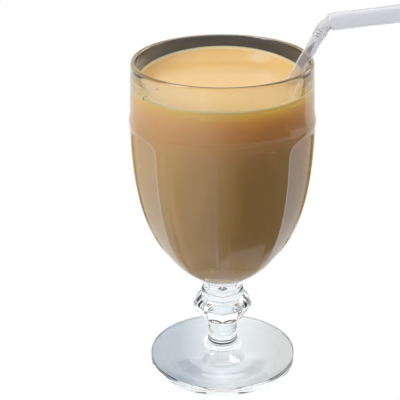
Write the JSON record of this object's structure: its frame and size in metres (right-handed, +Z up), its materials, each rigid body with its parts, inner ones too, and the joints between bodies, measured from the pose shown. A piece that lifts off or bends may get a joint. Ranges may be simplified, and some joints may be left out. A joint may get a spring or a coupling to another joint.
{
  "type": "glass of horchata",
  "caption": "Footed glass goblet with pressed flat panels and a faceted knop, filled with a smooth tan milky drink, with a clear bent drinking straw leaning on the rim.",
  "frame": {"origin": "centre of the foot's flat underside, the point the glass stands on", "axes": "+Z up along the goblet's axis; -Y towards the front of the picture; the straw's mouth end points roughly along +X"},
  "size_m": [0.1389, 0.0872, 0.1885],
  "materials": {
    "pressed_glass": "clear pressed soda-lime glass, fire polished",
    "milky_drink": "opaque tan milky liquid with a smooth wet surface",
    "clear_plastic": "thin translucent polypropylene tube, extruded and ringed at the elbow"
  },
  "bodies": {
    "root": {"goblet": "pressed_glass", "horchata": "milky_drink", "straw": "clear_plastic"}
  },
  "joints": []
}
